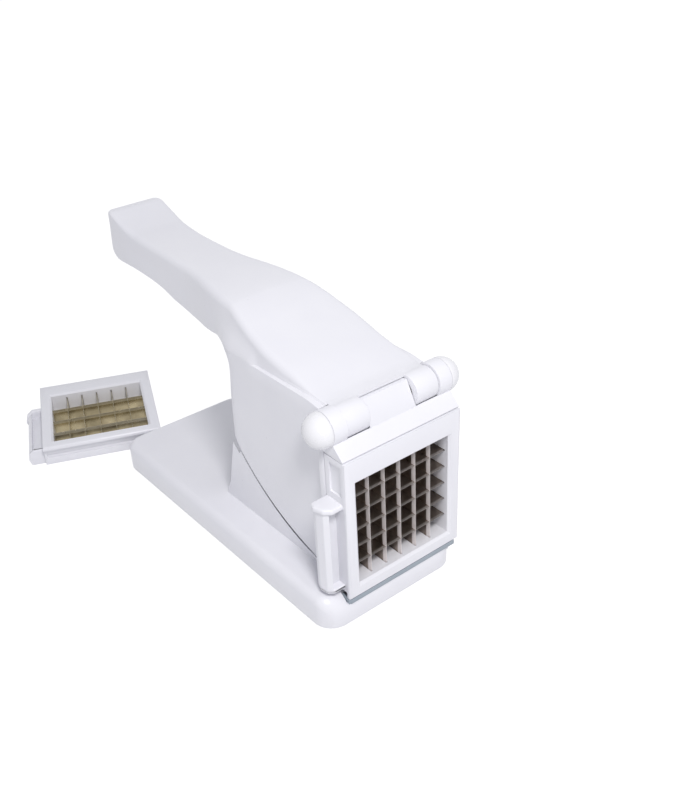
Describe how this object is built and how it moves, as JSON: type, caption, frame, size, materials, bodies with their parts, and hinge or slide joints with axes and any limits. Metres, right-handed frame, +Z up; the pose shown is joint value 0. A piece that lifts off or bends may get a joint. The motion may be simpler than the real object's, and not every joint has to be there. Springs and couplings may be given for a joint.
{
  "type": "french fry cutter",
  "caption": "Table-top lever press that drives a padded pusher through a square blade grid to cut a potato into chips, with a spare slide-in blade cassette.",
  "frame": {"origin": "underside of the rest boss in the middle of the base, on the table", "axes": "+Z up, the blade window faces -Y and the handle points to +Y, +X to the right seen from the window"},
  "size_m": [0.1557, 0.3277, 0.156],
  "materials": {
    "white_plastic": "glossy white moulding",
    "grip_plastic": "glossy white moulding",
    "blade_steel": "ground sheet",
    "pin_steel": "bright",
    "nylon": "matt",
    "foot_rubber": "matt"
  },
  "bodies": {
    "press": {"base_shell": "white_plastic", "foot_front_left": "foot_rubber", "foot_front_right": "foot_rubber", "foot_rear_left": "foot_rubber", "foot_rear_right": "foot_rubber", "front_holder": "white_plastic", "chamber_trough": "white_plastic", "hinge_pin": "pin_steel", "hinge_knob_left": "grip_plastic", "hinge_knob_right": "grip_plastic", "holder_screw_left": "pin_steel", "holder_screw_right": "pin_steel", "chamber_screw_front_left": "pin_steel", "chamber_screw_front_right": "pin_steel", "chamber_screw_rear_left": "pin_steel", "chamber_screw_rear_right": "pin_steel"},
    "lever": {"lever_shell": "white_plastic", "handle_liner": "grip_plastic", "hinge_bush_left": "nylon", "hinge_bush_right": "nylon", "liner_screw_1": "pin_steel", "liner_screw_2": "pin_steel", "liner_screw_3": "pin_steel"},
    "pusher": {"pusher_block": "white_plastic", "pusher_runner": "nylon", "pusher_pin": "pin_steel", "runner_screw_1": "pin_steel", "runner_screw_2": "pin_steel"},
    "cassette": {"cassette_frame": "white_plastic", "cassette_upright_blade_1": "blade_steel", "cassette_upright_blade_2": "blade_steel", "cassette_upright_blade_3": "blade_steel", "cassette_upright_blade_4": "blade_steel", "cassette_upright_blade_5": "blade_steel", "cassette_cross_blade_1": "blade_steel", "cassette_cross_blade_2": "blade_steel", "cassette_cross_blade_3": "blade_steel", "cassette_cross_blade_4": "blade_steel", "cassette_cross_blade_5": "blade_steel"},
    "spare": {"spare_frame": "white_plastic", "spare_upright_blade_1": "blade_steel", "spare_upright_blade_2": "blade_steel", "spare_upright_blade_3": "blade_steel", "spare_upright_blade_4": "blade_steel", "spare_upright_blade_5": "blade_steel", "spare_cross_blade_1": "blade_steel", "spare_cross_blade_2": "blade_steel", "spare_cross_blade_3": "blade_steel"}
  },
  "joints": [
    {"name": "lever_hinge", "type": "hinge", "parent": "press", "child": "lever", "pos_m": [0, -0.1125, 0.1135], "axis": [1, 0, 0], "range_deg": [0, 55]},
    {"name": "pusher_slide", "type": "slide", "parent": "press", "child": "pusher", "axis": [0, 1, 0], "range_m": [0, 0.0641]},
    {"name": "cassette_slide", "type": "slide", "parent": "press", "child": "cassette", "axis": [-1, 0, 0], "range_m": [0, 0.08]},
    {"name": "spare_lift", "type": "slide", "parent": "press", "child": "spare", "axis": [0, 0, 1], "range_m": [0, 0.06]}
  ],
  "couplings": [
    {"joint": "pusher_slide", "follows": "lever_hinge", "m_per_rad": 0.066671}
  ]
}
